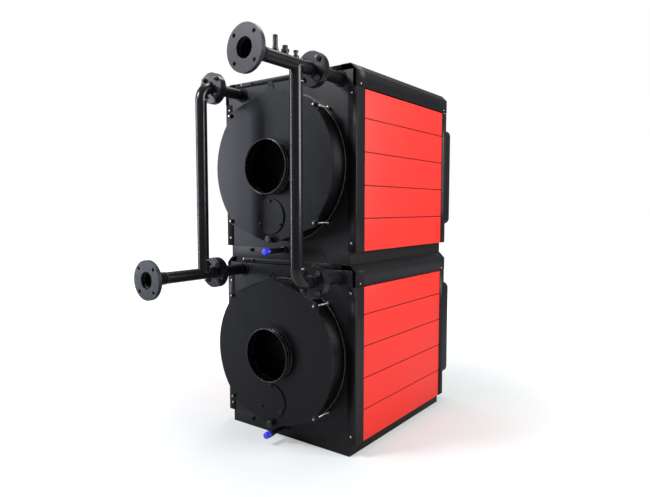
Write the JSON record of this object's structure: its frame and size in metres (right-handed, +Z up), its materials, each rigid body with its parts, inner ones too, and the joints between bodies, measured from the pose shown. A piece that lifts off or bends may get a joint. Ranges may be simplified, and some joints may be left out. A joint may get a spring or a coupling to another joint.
{
  "type": "stacked twin boiler unit",
  "caption": "Two insulated boiler modules stacked on plinths, red side panels, round smoke boxes with flue collars, joined by flanged flow and return pipework.",
  "frame": {"origin": "middle of the base on the floor", "axes": "+Z up, -Y towards the flue collars and the open pipe flanges, +X towards the flow pipework"},
  "size_m": [0.92, 1.822, 2.032],
  "materials": {
    "plinth_black": "satin",
    "housing_black": "satin",
    "casing_black": "fine textured satin",
    "panel_red": "satin",
    "door_black": "satin",
    "smoke_box_black": "gloss",
    "plate_black": "satin",
    "collar_black": "satin",
    "zinc_steel": "satin",
    "drain_plastic": "satin",
    "cap_blue": "gloss",
    "grommet_rubber": "matt",
    "pipe_black": "gloss",
    "flange_primer": "satin",
    "gasket_grey": "matt",
    "fitting_steel": "satin"
  },
  "bodies": {
    "root": {"lower_plinth": "plinth_black", "lower_body_core": "housing_black", "lower_rear_panel": "casing_black", "lower_front_panel": "casing_black", "lower_top_cover": "casing_black", "lower_corner_angles": "casing_black", "lower_side_panel_right": "panel_red", "lower_side_panel_left": "panel_red", "lower_front_door": "door_black", "lower_smoke_box": "smoke_box_black", "lower_cover_plate": "plate_black", "lower_flue_collar": "collar_black", "lower_inspection_cover": "plate_black", "lower_tie_rods": "zinc_steel", "lower_drain_pipe": "drain_plastic", "lower_drain_cap": "cap_blue", "lower_hand_knob": "drain_plastic", "lower_pipe_grommets": "grommet_rubber", "lower_flow_stub": "pipe_black", "lower_return_stub": "pipe_black", "upper_plinth": "plinth_black", "upper_body_core": "housing_black", "upper_rear_panel": "casing_black", "upper_front_panel": "casing_black", "upper_top_cover": "casing_black", "upper_corner_angles": "casing_black", "upper_side_panel_right": "panel_red", "upper_side_panel_left": "panel_red", "upper_front_door": "door_black", "upper_smoke_box": "smoke_box_black", "upper_cover_plate": "plate_black", "upper_flue_collar": "collar_black", "upper_inspection_cover": "plate_black", "upper_tie_rods": "zinc_steel", "upper_drain_pipe": "drain_plastic", "upper_drain_cap": "cap_blue", "upper_hand_knob": "drain_plastic", "upper_pipe_grommets": "grommet_rubber", "upper_flow_stub": "pipe_black", "upper_return_stub": "pipe_black", "flow_header": "pipe_black", "return_header": "pipe_black", "flow_riser": "pipe_black", "return_riser": "pipe_black", "pair_gaskets": "gasket_grey", "flange_bolts": "fitting_steel", "flow_open_flange": "flange_primer", "return_open_flange": "flange_primer", "header_fittings": "fitting_steel"}
  },
  "joints": []
}
